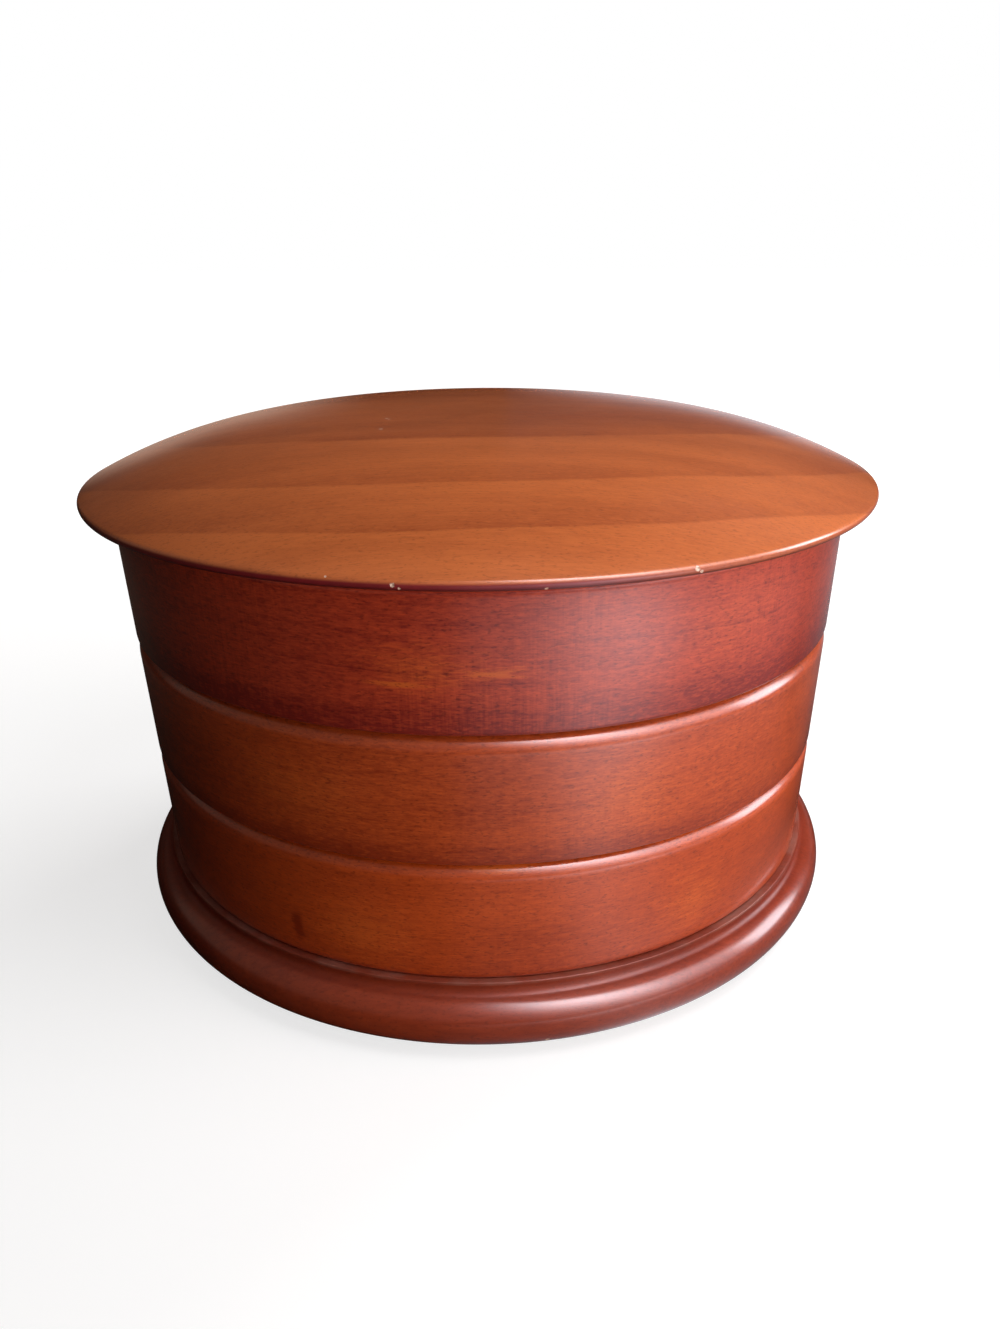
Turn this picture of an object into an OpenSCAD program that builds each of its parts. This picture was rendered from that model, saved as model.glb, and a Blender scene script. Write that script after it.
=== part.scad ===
// Round swivel jewellery box: three trays that turn on one steel post at the back,
// on a moulded base, under a domed lid that is hinged to the top tray.
// The box stands on z = 0 with its axis on Z. The front is -Y, the post and hinge are at +Y.

/* [Tiers] */
// Outer radius of the three tiers
tier_r = 90; // [80:1:110]
// Thickness of the tier walls
wall_t = 7; // [6:0.5:10]
// Height of the bottom tier's wall
bottom_h = 29.6; // [26:0.2:45]
// Height of the middle tier's wall
middle_h = 29.6; // [26:0.2:45]
// Height of the top tier's wall
top_h = 30.4; // [30:0.2:45]
// Running gap between one tier and the next
tier_gap = 0.4; // [0.3:0.1:0.8]
// Round-over on the top outer edge of the two lower tiers
seam_round = 4; // [1:0.5:5]
// Round-over on the top tier's top outer edge, under the lid
top_round = 2.5; // [1:0.5:3.5]
// Softened arris on a tier's bottom outer edge
foot_round = 1; // [0.5:0.25:2]
// Chamfer on a wall's top inner edge
lip_cut = 1; // [0.5:0.25:1.5]
// Thickness of the plywood floors
floor_t = 3; // [2.5:0.5:5]
// Width of the rabbet that takes a floor
rabbet_w = 3; // [2:0.5:4]
// How far a floor sits above its wall's lower edge
floor_recess = 0.5; // [0.3:0.1:1]

/* [Base] */
// Height of the moulded base plate
base_h = 16.5; // [12:0.5:20]
// How far the base reaches beyond the tiers
base_over = 7.5; // [5:0.5:12]
// Flat ledge that shows round the bottom tier
ledge_w = 1.4; // [0.6:0.2:3]
// Upright lip of that ledge
ledge_t = 1; // [0.6:0.2:4]
// Radius of the cove under the ledge
cove_r = 2.4; // [1.2:0.2:5]
// Thickness of the felt under the base
felt_t = 1; // [0.6:0.2:2]
// How far the felt stays in from the base's flat underside
felt_inset = 4; // [2:0.5:10]
// Distance of the base screws from the box's axis
base_screw_at = 58; // [40:1:62]
// Number of base screws
base_screw_n = 4; // [3:1:8]
// Length of a base screw, head included
base_screw_l = 11; // [8:0.5:12]

/* [Lid] */
// Overhang of the lid beyond the tiers
lid_over = 7; // [6:0.5:12]
// Thickness of the half-round rim
rim_t = 2.4; // [2:0.2:4]
// Rise of the dome above the rim
dome_h = 13.8; // [9:0.2:25]
// Fullness of the dome: 2 is a plain bowl curve, more is flatter on top
dome_n = 3.4; // [2.5:0.1:5]
// Thickness of the felt bumpers under the lid
bumper_t = 0.6; // [0.6:0.1:1]
// Radius of the mirror in the lid
mirror_r = 64; // [50:1:66]
// Thickness of the mirror glass
mirror_t = 3; // [2:0.5:4]
// Width of the ring that holds the mirror
ring_w = 6; // [4:0.5:8]
// Thickness of that ring
ring_t = 1.6; // [1:0.2:2.4]
// How far that ring laps over the mirror
ring_lap = 2.5; // [1:0.5:3]

/* [Pivot] */
// Radius of the pivot post
post_r = 3; // [2.5:0.25:3.5]
// Distance of the post's axis in from the tiers' outer face
post_inset = 20; // [18:0.5:30]
// Radius of a pivot block's round nose
boss_r = 13; // [12.5:0.5:16]
// Width of a pivot block where it meets the wall
web_w = 22; // [16:1:24]
// Height of the top tier's pivot block
top_block_h = 15; // [10:0.5:15]
// Wall of the bushes in the turning blocks
bush_wall = 2; // [1:0.25:2.25]
// Radial running clearance of a bush on the post
bush_clear = 0.05; // [0.02:0.01:0.1]
// Radius of the washers between the tiers
washer_r = 6.3; // [5.5:0.1:6.6]
// Depth of the seat that a washer has in the block under it
washer_seat = 0.6; // [0.4:0.1:1]
// Thickness of the plain washers
plate_washer_t = 1; // [0.6:0.2:1.6]
// Thickness of the sprung washer's metal
spring_t = 0.6; // [0.4:0.1:1]
// Rise of the sprung washer's cone
spring_rise = 0.5; // [0.3:0.1:1]
// Width of the nuts across their flats
nut_af = 10; // [9:0.5:11]
// Height of the plain nut
nut_h = 5; // [4:0.5:6]
// Height of the cap nut's six-sided part
cap_hex_h = 4; // [3.5:0.5:5]
// Height of the cap nut's domed part
cap_dome_h = 2.6; // [1.5:0.1:3]
// Radius of a stop pin
stop_pin_r = 1.5; // [1:0.1:1.6]
// Distance of a stop pin from the post's axis
stop_at = 9.2; // [9:0.1:9.6]
// Depth of a stop pin in its block
stop_depth = 8; // [5:0.5:12]
// Swing of a tier to each side, in degrees
swing = 105; // [60:5:130]

/* [Hinge] */
// Length of the lid hinge
hinge_w = 30; // [24:1:44]
// How far the hinge's axis stands out from the tiers
hinge_out = 2; // [2:0.1:3]
// Thickness of a hinge leaf
leaf_t = 0.8; // [0.6:0.1:1.2]
// How far a leaf's edge stays in from the wall's inner face
leaf_inset = 1.5; // [0.5:0.25:2.5]
// Radius of the hinge's barrel
barrel_r = 1.7; // [1.5:0.05:1.7]
// Radius of the hinge's pin
hinge_pin_r = 0.9; // [0.6:0.05:1]
// Distance of a leaf's screws from its ends
leaf_screw_in = 6; // [4:0.5:8]
// Length of the screws down into the tier
tier_screw_l = 8; // [5:0.5:12]
// Length of the screws up into the lid
lid_screw_l = 4.5; // [3:0.25:5]

/* [Fittings] */
// Thickness of the lining round the walls
lining_t = 1; // [0.6:0.1:2]
// Thickness of the lined pads on the floors
pad_t = 1.5; // [1:0.25:3]
// How far the wall lining stops below the wall's top
lining_drop = 3; // [2:0.5:8]
// Thickness of the dividers
divider_t = 3; // [2:0.25:4]
// How far the dividers stop below the wall's top
divider_drop = 5; // [3:0.5:10]
// Place of the bottom tier's divider, from front to back
bottom_divider_at = 20; // [0:1:40]
// Place of the middle tier's cross divider, from front to back
middle_divider_at = 5; // [-20:1:35]
// Place of the top tier's cross divider, from front to back
top_divider_at = 12; // [0:1:35]
// Clear width of the ring roll bay
bay_w = 92; // [60:1:110]
// Width of one ring roll
roll_w = 10; // [8:0.5:14]
// Height of one ring roll
roll_h = 15; // [11:0.5:18]
// Gap between two ring rolls
roll_gap = 0.6; // [0.4:0.1:1.5]

/* [Hidden] */
$fn = 96;
// Glue line or press clearance between two fixed pieces
fit = 0.05;
// Clearance of lined and loose pieces from their neighbours
loose = 0.3;
// How far a cutting tool runs past what it cuts
past = 1;
// Clearance of a washer on the post, and of a spanner round the nut under the base
washer_clear = 0.2;
spanner_room = 1.5;
// Clearance of a stop pin beside it and at the ends of its slot
stop_clear = 0.4;
stop_end_clear = 0.35;
// Bare wood on each side of a felt bumper
bumper_margin = 0.1;
// Steps of an arc in a turned profile, and of the lid's dome
arc_steps = 8;
dome_steps = 24;

// Levels, from the floor up
base_z = felt_t;
bottom_z = base_z + base_h;
bottom_top = bottom_z + bottom_h;
middle_z = bottom_top + tier_gap;
middle_top = middle_z + middle_h;
top_z = middle_top + tier_gap;
top_top = top_z + top_h;
lid_z = top_top + bumper_t;

// Radii of the tiers, their floors and their linings
inner_r = tier_r - wall_t;
floor_r = inner_r + rabbet_w;
floor_top = floor_recess + floor_t;
lined_r = inner_r - fit - lining_t;
pad_top = floor_top + pad_t;

// Level where the middle tier's two dividers lap
lap_z = middle_z + (pad_top + middle_h - divider_drop) / 2;

// The base's moulding: a round bead that runs into a cove under a ledge.
// The bead stands on the base's underside, has the base's full reach and meets the cove smoothly.
base_r = tier_r + base_over;
cove_x = tier_r + ledge_w + cove_r;
cove_z = base_h - ledge_t;
bead_sum = cove_z + cove_r + base_r - cove_x;
bead_r = bead_sum - sqrt(pow(bead_sum, 2) - pow(base_r - cove_x, 2) - pow(cove_z, 2) + pow(cove_r, 2));
foot_r = base_r - bead_r;
bead_join = atan2(cove_z - bead_r, cove_x - foot_r);
base_head_r = 3;
base_head_h = 1.8;
base_shank_r = 1.5;

// The lid's rim and the place where its dome starts
lid_r = tier_r + lid_over;
rim_r = rim_t / 2;
rim_end = 90 - atan(dome_h * dome_n / lid_r);
dome_r = lid_r - rim_r + rim_r * cos(rim_end);
dome_z = lid_z + rim_r + rim_r * sin(rim_end);
ring_r = mirror_r - ring_lap + ring_w;
bumper_at = (inner_r + lip_cut + tier_r - top_round) / 2;
bumper_r = (wall_t - lip_cut - top_round) / 2 - bumper_margin;
bumper_angles = [210, 270, 330];

// The post and what turns on it
post_y = tier_r - post_inset;
bush_r = post_r + bush_clear + bush_wall;
washer_t = washer_seat + tier_gap;
washer_bore = post_r + washer_clear;
nut_r = nut_af / 2 / cos(30);
nut_pocket_r = nut_r + spanner_room;
nut_lift = 1;
nut_pocket_h = nut_lift + nut_h + plate_washer_t;
top_block_z = top_z + floor_top + top_block_h;
cap_z = top_block_z + plate_washer_t + spring_rise + spring_t;
cap_bore_h = cap_hex_h + cap_dome_h / 2;
cap_sphere_r = (pow(nut_af / 2, 2) + pow(cap_dome_h, 2)) / (2 * cap_dome_h);
stop_slot_r = stop_pin_r + stop_clear;
stop_end_r = stop_pin_r + stop_end_clear;
stop_front = 270;

// The hinge's axis, leaves and screws
hinge_y = tier_r + hinge_out;
hinge_z = (top_top + lid_z) / 2;
leaf_y = inner_r + leaf_inset;
knuckle_l = hinge_w / 3;
knuckle_gap = 0.3;
barrel_clear = 0.4;
hinge_pin_clear = 0.05;
leaf_screw_x = hinge_w / 2 - leaf_screw_in;
leaf_screw_y = (leaf_y + tier_r - top_round / 2) / 2;
leaf_head_r = 1.9;
leaf_shank_r = 1;

// The ring roll bay, between the cross divider and the lining in front
bay_back = top_divider_at - divider_t / 2;
side_divider_at = (bay_w + divider_t) / 2;
bay_front = -sqrt(pow(lined_r, 2) - pow(bay_w / 2, 2));
roll_pitch = roll_w + roll_gap;
roll_n = floor((bay_back - bay_front) / roll_pitch);

cherry = [0.50, 0.20, 0.11];
lid_cherry = [0.60, 0.30, 0.15];
dark_cherry = [0.36, 0.10, 0.08];
plywood = [0.72, 0.56, 0.38];
velvet = [0.86, 0.79, 0.66];
felt_green = [0.16, 0.24, 0.18];
steel = [0.66, 0.67, 0.69];
brass = [0.78, 0.62, 0.30];
nylon = [0.90, 0.89, 0.85];
glass = [0.80, 0.85, 0.88];

// Points of an arc in a turned profile
function arc(c, r, a0, a1) =
    [for (i = [0 : arc_steps]) let (a = a0 + (a1 - a0) * i / arc_steps) c + r * [cos(a), sin(a)]];

// Half the length of a straight divider that stands off-centre between the linings
function half_chord(off) = sqrt(pow(lined_r, 2) - pow(abs(off) + divider_t / 2, 2)) - loose;

module at_post(z) {
    translate([0, post_y, z]) children();
}

module hole(r, z0, z1) {
    translate([0, 0, z0]) cylinder(r = r, h = z1 - z0);
}

// A countersunk wood screw with its head's top at z = 0, pointing down
module wood_screw(head_r, shank_r, head_h, length, clear) {
    translate([0, 0, -head_h]) cylinder(r1 = shank_r + clear, r2 = head_r + clear, h = head_h);
    translate([0, 0, -length - clear]) cylinder(r = shank_r + clear, h = length + clear);
}

module base_screw_set(clear) {
    for (i = [0 : base_screw_n - 1])
        rotate(45 + 360 * i / base_screw_n)
            translate([base_screw_at, 0, bottom_z + floor_top])
                wood_screw(base_head_r, base_shank_r, base_head_h, base_screw_l, clear);
}

// Moulded base plate, bored for the post and its nut
module base_plate() {
    color(dark_cherry) difference() {
        translate([0, 0, base_z]) rotate_extrude() polygon(concat(
            [[0, 0]],
            arc([foot_r, bead_r], bead_r, -90, bead_join),
            arc([cove_x, cove_z], cove_r, 180 + bead_join, 180),
            [[tier_r + ledge_w, base_h], [0, base_h]]
        ));
        at_post(0) hole(post_r + fit, 0, bottom_z + past);
        at_post(0) hole(nut_pocket_r, 0, base_z + nut_pocket_h);
        base_screw_set(fit);
    }
}

module base_felt() {
    color(felt_green) cylinder(r = foot_r - felt_inset, h = felt_t);
}

module base_screws() {
    color(brass) base_screw_set(0);
}

// A tier's wall, turned as one ring with a rabbet for its floor
module tier_wall(z, h, edge_r) {
    translate([0, 0, z]) rotate_extrude() polygon(concat(
        [[floor_r, 0]],
        arc([tier_r - foot_round, foot_round], foot_round, -90, 0),
        arc([tier_r - edge_r, h - edge_r], edge_r, 0, 90),
        [[inner_r + lip_cut, h], [inner_r, h - lip_cut], [inner_r, floor_top], [floor_r, floor_top]]
    ));
}

module tier_floor(z, bore) {
    difference() {
        translate([0, 0, z + floor_recess]) cylinder(r = floor_r - fit, h = floor_t);
        at_post(0) hole(bore, z, z + floor_top + past);
    }
}

// The arc in a turning floor that a stop pin runs in
module stop_slot(z) {
    at_post(z) {
        rotate(stop_front - swing) rotate_extrude(angle = 2 * swing)
            translate([stop_at - stop_slot_r, 0]) square([2 * stop_slot_r, floor_top + fit]);
        for (side = [-1, 1])
            rotate(stop_front + side * swing) translate([stop_at, 0, 0])
                cylinder(r = stop_end_r, h = floor_top + fit);
    }
}

module turning_floor(z) {
    difference() {
        tier_floor(z, bush_r + fit);
        stop_slot(z);
    }
}

// Plan of a pivot block: a round nose on the post, and a web that runs out past the wall
module block_plan(grow) {
    translate([0, post_y]) circle(r = boss_r + grow);
    translate([-web_w / 2 - grow, post_y]) square([web_w + 2 * grow, post_inset]);
}

module pivot_block(z, h, bore) {
    translate([0, 0, z + floor_top]) linear_extrude(h) difference() {
        intersection() {
            block_plan(0);
            circle(r = inner_r - fit);
        }
        translate([0, post_y]) circle(r = bore);
    }
}

// A block that carries the next tier: it has that tier's washer seat and stop pin
module carrying_block(z, h, bore) {
    difference() {
        pivot_block(z, h - floor_top, bore);
        at_post(z + h) hole(washer_r + fit, -washer_seat, past);
        at_post(z + h) translate([0, -stop_at, 0]) hole(stop_pin_r + fit, -stop_depth, past);
    }
}

module stop_pin(z) {
    at_post(z - stop_depth) translate([0, -stop_at, 0])
        cylinder(r = stop_pin_r, h = stop_depth + tier_gap + floor_top - loose);
}

module bush(z, h) {
    at_post(z) difference() {
        cylinder(r = bush_r, h = h);
        hole(post_r + bush_clear, -past, h + past);
    }
}

module flat_washer(z, r, t) {
    at_post(z) difference() {
        cylinder(r = r, h = t);
        hole(washer_bore, -past, t + past);
    }
}

// Lining that is glued round the inside of a wall, open at the pivot block
module wall_lining(z, h) {
    translate([0, 0, z + pad_top]) difference() {
        cylinder(r = inner_r - fit, h = h - pad_top - lining_drop);
        hole(lined_r, -past, h);
        translate([0, 0, -past]) linear_extrude(h) block_plan(loose);
    }
}

module floor_lining(z) {
    translate([0, 0, z + floor_top]) difference() {
        cylinder(r = inner_r - loose, h = pad_t);
        translate([0, 0, -past]) linear_extrude(pad_t + 2 * past) block_plan(loose);
    }
}

// A straight divider from point to point on a tier's floor pad
module divider(z, h, x0, x1, y0, y1) {
    translate([x0, y0, z + pad_top]) cube([x1 - x0, y1 - y0, h - pad_top - divider_drop]);
}

module cross_divider(z, h, y) {
    half = half_chord(y);
    divider(z, h, -half, half, y - divider_t / 2, y + divider_t / 2);
}

// Bottom tier, fixed to the base
module bottom_wall() {
    color(cherry) tier_wall(bottom_z, bottom_h, seam_round);
}

module bottom_floor() {
    color(plywood) difference() {
        tier_floor(bottom_z, post_r + fit);
        base_screw_set(fit);
    }
}

module bottom_wall_lining() {
    color(velvet) wall_lining(bottom_z, bottom_h);
}

module bottom_floor_lining() {
    color(velvet) floor_lining(bottom_z);
}

module bottom_divider() {
    color(velvet) cross_divider(bottom_z, bottom_h, bottom_divider_at);
}

module bottom_pivot_block() {
    color(cherry) carrying_block(bottom_z, bottom_h, post_r + fit);
}

// Post with its fixings under the base and in the top tier
module pivot_post() {
    color(steel) at_post(base_z + nut_lift)
        cylinder(r = post_r, h = cap_z + cap_bore_h - fit - base_z - nut_lift);
}

module post_base_nut() {
    color(steel) at_post(base_z + nut_lift) difference() {
        cylinder(r = nut_r, h = nut_h, $fn = 6);
        hole(post_r + fit, -past, nut_h + past);
    }
}

module post_base_washer() {
    color(steel) flat_washer(base_z + nut_lift + nut_h, washer_r, plate_washer_t);
}

module lower_washer() {
    color(nylon) flat_washer(bottom_top - washer_seat, washer_r, washer_t);
}

module lower_stop_pin() {
    color(steel) stop_pin(bottom_top);
}

// Middle tier, which turns on the post
module middle_wall() {
    color(cherry) tier_wall(middle_z, middle_h, seam_round);
}

module middle_floor() {
    color(plywood) turning_floor(middle_z);
}

module middle_wall_lining() {
    color(velvet) wall_lining(middle_z, middle_h);
}

module middle_floor_lining() {
    color(velvet) floor_lining(middle_z);
}

// The two dividers of the middle tier are half-lapped where they cross
module lap_notch(z0, z1) {
    half = divider_t / 2 + fit;
    translate([-half, middle_divider_at - half, z0]) cube([2 * half, 2 * half, z1 - z0]);
}

module middle_cross_divider() {
    color(velvet) difference() {
        cross_divider(middle_z, middle_h, middle_divider_at);
        lap_notch(lap_z, middle_top);
    }
}

module middle_long_divider() {
    color(velvet) difference() {
        divider(middle_z, middle_h, -divider_t / 2, divider_t / 2,
            -half_chord(0), post_y - boss_r - loose);
        lap_notch(middle_z, lap_z);
    }
}

module middle_pivot_block() {
    color(cherry) carrying_block(middle_z, middle_h, bush_r + fit);
}

module middle_bush() {
    color(brass) bush(middle_z, middle_h - washer_seat);
}

module upper_washer() {
    color(nylon) flat_washer(middle_top - washer_seat, washer_r, washer_t);
}

module upper_stop_pin() {
    color(steel) stop_pin(middle_top);
}

// Top tier, which turns on the post and carries the lid
module top_wall() {
    color(cherry) difference() {
        tier_wall(top_z, top_h, top_round);
        translate([-hinge_w / 2 - fit, leaf_y - fit, top_top - leaf_t])
            cube([hinge_w + 2 * fit, wall_t + hinge_out, leaf_t + past]);
        tier_screw_set(fit);
    }
}

module top_floor() {
    color(plywood) turning_floor(top_z);
}

module top_wall_lining() {
    color(velvet) wall_lining(top_z, top_h);
}

module top_floor_lining() {
    color(velvet) floor_lining(top_z);
}

module top_cross_divider() {
    color(velvet) cross_divider(top_z, top_h, top_divider_at);
}

module top_back_divider() {
    color(velvet) divider(top_z, top_h, -divider_t / 2, divider_t / 2,
        top_divider_at + divider_t / 2, post_y - boss_r - loose);
}

module top_side_dividers() {
    front = -half_chord(side_divider_at);
    color(velvet) for (side = [-1, 1])
        divider(top_z, top_h, side * side_divider_at - divider_t / 2,
            side * side_divider_at + divider_t / 2, front, bay_back);
}

// Padded rolls that hold rings between them, each with a round top
module ring_rolls() {
    roll_r = roll_w / 2;
    roll_l = bay_w - 2 * loose;
    color(velvet) for (i = [0 : roll_n - 1])
        translate([-roll_l / 2, bay_back - roll_gap - roll_r - i * roll_pitch, top_z + pad_top])
            rotate([90, 0, 90]) linear_extrude(roll_l) {
                translate([-roll_r, 0]) square([roll_w, roll_h - roll_r]);
                translate([0, roll_h - roll_r]) circle(r = roll_r);
            }
}

module top_pivot_block() {
    color(cherry) pivot_block(top_z, top_block_h, bush_r + fit);
}

module top_bush() {
    color(brass) bush(top_z, floor_top + top_block_h);
}

module cap_washer() {
    color(nylon) flat_washer(top_block_z, washer_r, plate_washer_t);
}

module spring_washer() {
    color(steel) at_post(top_block_z + plate_washer_t) rotate_extrude() polygon([
        [washer_bore, spring_rise], [washer_r, 0],
        [washer_r, spring_t], [washer_bore, spring_rise + spring_t]
    ]);
}

module post_cap_nut() {
    color(steel) at_post(cap_z) difference() {
        union() {
            cylinder(r = nut_r, h = cap_hex_h, $fn = 6);
            intersection() {
                translate([0, 0, cap_hex_h + cap_dome_h - cap_sphere_r]) sphere(r = cap_sphere_r);
                hole(nut_af / 2, cap_hex_h - past, cap_hex_h + cap_dome_h);
            }
        }
        hole(post_r + fit, -past, cap_bore_h);
    }
}

// Lid hinge: the lower leaf has the outer knuckles, the upper leaf the middle one
module on_hinge(x) {
    translate([x, hinge_y, hinge_z]) rotate([0, 90, 0]) children();
}

module knuckles(lower, r, grow) {
    for (i = [0 : 2])
        if ((i != 1) == lower)
            on_hinge(-hinge_w / 2 + i * knuckle_l - grow)
                cylinder(r = r, h = knuckle_l + 2 * grow);
}

module hinge_leaf(lower, z) {
    difference() {
        union() {
            translate([-hinge_w / 2, leaf_y, z]) cube([hinge_w, hinge_y - leaf_y, leaf_t]);
            knuckles(lower, barrel_r, 0);
        }
        knuckles(!lower, barrel_r + barrel_clear, knuckle_gap);
        on_hinge(-hinge_w / 2 - past)
            cylinder(r = hinge_pin_r + hinge_pin_clear, h = hinge_w + 2 * past);
        if (lower)
            tier_screw_set(fit);
        else
            lid_screw_set(fit);
    }
}

module tier_screw_set(clear) {
    for (side = [-1, 1])
        translate([side * leaf_screw_x, leaf_screw_y, top_top])
            wood_screw(leaf_head_r, leaf_shank_r, leaf_t, tier_screw_l, clear);
}

module lid_screw_set(clear) {
    for (side = [-1, 1])
        translate([side * leaf_screw_x, leaf_screw_y, lid_z]) rotate([180, 0, 0])
            wood_screw(leaf_head_r, leaf_shank_r, leaf_t, lid_screw_l, clear);
}

module hinge_lower_leaf() {
    color(brass) hinge_leaf(true, top_top - leaf_t);
}

module hinge_pin() {
    color(brass) on_hinge(-hinge_w / 2) cylinder(r = hinge_pin_r, h = hinge_w);
}

module lower_leaf_screws() {
    color(brass) tier_screw_set(0);
}

module felt_bumpers() {
    color(felt_green) for (a = bumper_angles)
        rotate(a) translate([bumper_at, 0, top_top]) cylinder(r = bumper_r, h = bumper_t);
}

// Lid, turned from glued boards: half-round rim, full dome, flat underside with its recesses
module lid_panel() {
    color(lid_cherry) difference() {
        rotate_extrude() polygon(concat(
            [[0, lid_z]],
            arc([lid_r - rim_r, lid_z + rim_r], rim_r, -90, rim_end),
            [for (i = [1 : dome_steps]) let (s = 1 - i / dome_steps)
                [dome_r * s, dome_z + dome_h * (1 - pow(s, dome_n))]]
        ));
        hole(ring_r + fit, lid_z - past, lid_z + ring_t);
        hole(mirror_r + fit, lid_z - past, lid_z + ring_t + mirror_t);
        translate([-hinge_w / 2 - fit, leaf_y - fit, lid_z - past])
            cube([hinge_w + 2 * fit, hinge_y - leaf_y + fit, past + leaf_t]);
        on_hinge(-hinge_w / 2 - loose)
            cylinder(r = barrel_r + barrel_clear, h = hinge_w + 2 * loose);
        lid_screw_set(fit);
    }
}

module mirror() {
    color(glass) translate([0, 0, lid_z + ring_t]) cylinder(r = mirror_r, h = mirror_t);
}

module mirror_ring() {
    color(dark_cherry) translate([0, 0, lid_z]) difference() {
        cylinder(r = ring_r, h = ring_t);
        hole(ring_r - ring_w, -past, ring_t + past);
    }
}

module hinge_upper_leaf() {
    color(brass) hinge_leaf(false, lid_z);
}

module upper_leaf_screws() {
    color(brass) lid_screw_set(0);
}

base_plate();
base_felt();
base_screws();
bottom_wall();
bottom_floor();
bottom_wall_lining();
bottom_floor_lining();
bottom_divider();
bottom_pivot_block();
pivot_post();
post_base_nut();
post_base_washer();
lower_washer();
lower_stop_pin();
middle_wall();
middle_floor();
middle_wall_lining();
middle_floor_lining();
middle_cross_divider();
middle_long_divider();
middle_pivot_block();
middle_bush();
upper_washer();
upper_stop_pin();
top_wall();
top_floor();
top_wall_lining();
top_floor_lining();
top_cross_divider();
top_back_divider();
top_side_dividers();
ring_rolls();
top_pivot_block();
top_bush();
cap_washer();
spring_washer();
post_cap_nut();
hinge_lower_leaf();
hinge_pin();
lower_leaf_screws();
felt_bumpers();
lid_panel();
mirror();
mirror_ring();
hinge_upper_leaf();
upper_leaf_screws();
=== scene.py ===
# Looks of a round swivel jewellery box: lacquered wood tiers on a moulded base, a domed lid on
# a brass hinge, and velvet-lined trays. Sizes are in millimetres and become metres when a piece
# is made. The front is -Y, and an azimuth counts from there towards the right.
import math
import bpy
from mathutils import Matrix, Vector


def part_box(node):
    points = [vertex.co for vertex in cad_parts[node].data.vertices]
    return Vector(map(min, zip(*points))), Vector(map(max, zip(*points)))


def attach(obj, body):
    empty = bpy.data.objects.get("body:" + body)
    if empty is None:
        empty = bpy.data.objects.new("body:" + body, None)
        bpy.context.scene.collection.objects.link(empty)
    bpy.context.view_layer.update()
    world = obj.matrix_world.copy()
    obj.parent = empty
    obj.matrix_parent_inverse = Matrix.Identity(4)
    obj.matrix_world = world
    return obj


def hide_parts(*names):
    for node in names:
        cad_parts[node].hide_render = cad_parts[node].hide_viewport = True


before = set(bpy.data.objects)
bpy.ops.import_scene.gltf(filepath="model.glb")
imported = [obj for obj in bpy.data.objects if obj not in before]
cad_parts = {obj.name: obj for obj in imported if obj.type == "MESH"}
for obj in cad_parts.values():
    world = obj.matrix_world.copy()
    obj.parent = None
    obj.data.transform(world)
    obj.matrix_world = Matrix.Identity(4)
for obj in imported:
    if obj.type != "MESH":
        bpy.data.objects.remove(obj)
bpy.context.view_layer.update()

# Base plate
# A round plate of dark red stained wood, turned with a round bead that runs into a cove and a ledge.
# It carries the whole box. Knocks have chipped its bead, a pale patchy band runs along its ledge, wax dulls
# its cove, and the cove's colour is darkened as painted shade.
mm = 0.001
weld = 0.001 * mm


def level(node):
    """Lowest and highest level of a node, in mm."""
    low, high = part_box(node)
    return low.z / mm, high.z / mm


def around(azimuth, radius, height):
    """A point by its azimuth from the front, positive to the right."""
    turn = math.radians(azimuth)
    return (radius * math.sin(turn), -radius * math.cos(turn), height)


def arc(centre, radius, start, end, steps=10):
    """Points of an arc in a turned section."""
    turns = [math.radians(start + (end - start) * i / steps) for i in range(steps + 1)]
    return [(centre[0] + radius * math.cos(t), centre[1] + radius * math.sin(t)) for t in turns]


def begin(add_primitive, name, **values):
    """Adds a primitive by itself, names it and applies its place."""
    bpy.ops.object.select_all(action="DESELECT")
    add_primitive(**values)
    piece = bpy.context.object
    piece.name = name
    bpy.ops.object.transform_apply(location=True, rotation=True, scale=True)
    return piece


def smooth(piece, angle=32):
    """Shades a piece smooth, apart from its true edges."""
    bpy.ops.object.select_all(action="DESELECT")
    piece.select_set(True)
    bpy.context.view_layer.objects.active = piece
    bpy.ops.object.shade_smooth_by_angle(angle=math.radians(angle))
    return piece


def turned(name, section, steps=360, start=0, sweep=360):
    """Draws a section of (radius, height) points vertex by vertex and spins it round the box's axis.

    A part turn starts at an azimuth and runs towards smaller azimuths.
    """
    aim = math.radians(start)
    points = [(r * math.sin(aim) * mm, -r * math.cos(aim) * mm, z * mm) for r, z in section]
    piece = begin(bpy.ops.mesh.primitive_plane_add, name, size=mm, location=points[0])
    bpy.ops.object.mode_set(mode="EDIT")
    bpy.ops.mesh.select_mode(type="VERT")
    bpy.ops.mesh.select_all(action="SELECT")
    bpy.ops.mesh.merge(type="CENTER")
    for last, point in zip(points, points[1:]):
        step = [b - a for a, b in zip(last, point)]
        bpy.ops.mesh.extrude_vertices_move(TRANSFORM_OT_translate={"value": step})
    bpy.ops.mesh.select_all(action="SELECT")
    if sweep < 360:
        bpy.ops.mesh.remove_doubles(threshold=weld)
        bpy.ops.mesh.edge_face_add()
    bpy.ops.mesh.spin(steps=steps, angle=math.radians(sweep), center=(0, 0, 0), axis=(0, 0, 1))
    bpy.ops.mesh.select_all(action="SELECT")
    bpy.ops.mesh.remove_doubles(threshold=weld)
    bpy.ops.mesh.normals_make_consistent(inside=False)
    bpy.ops.object.mode_set(mode="OBJECT")
    return smooth(piece)


def apply(piece, kind, **settings):
    """Adds a modifier with its settings and applies it."""
    change = piece.modifiers.new(kind.lower(), kind)
    for key, value in settings.items():
        setattr(change, key, value)
    bpy.ops.object.select_all(action="DESELECT")
    bpy.context.view_layer.objects.active = piece
    bpy.ops.object.modifier_apply(modifier=change.name)


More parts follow.
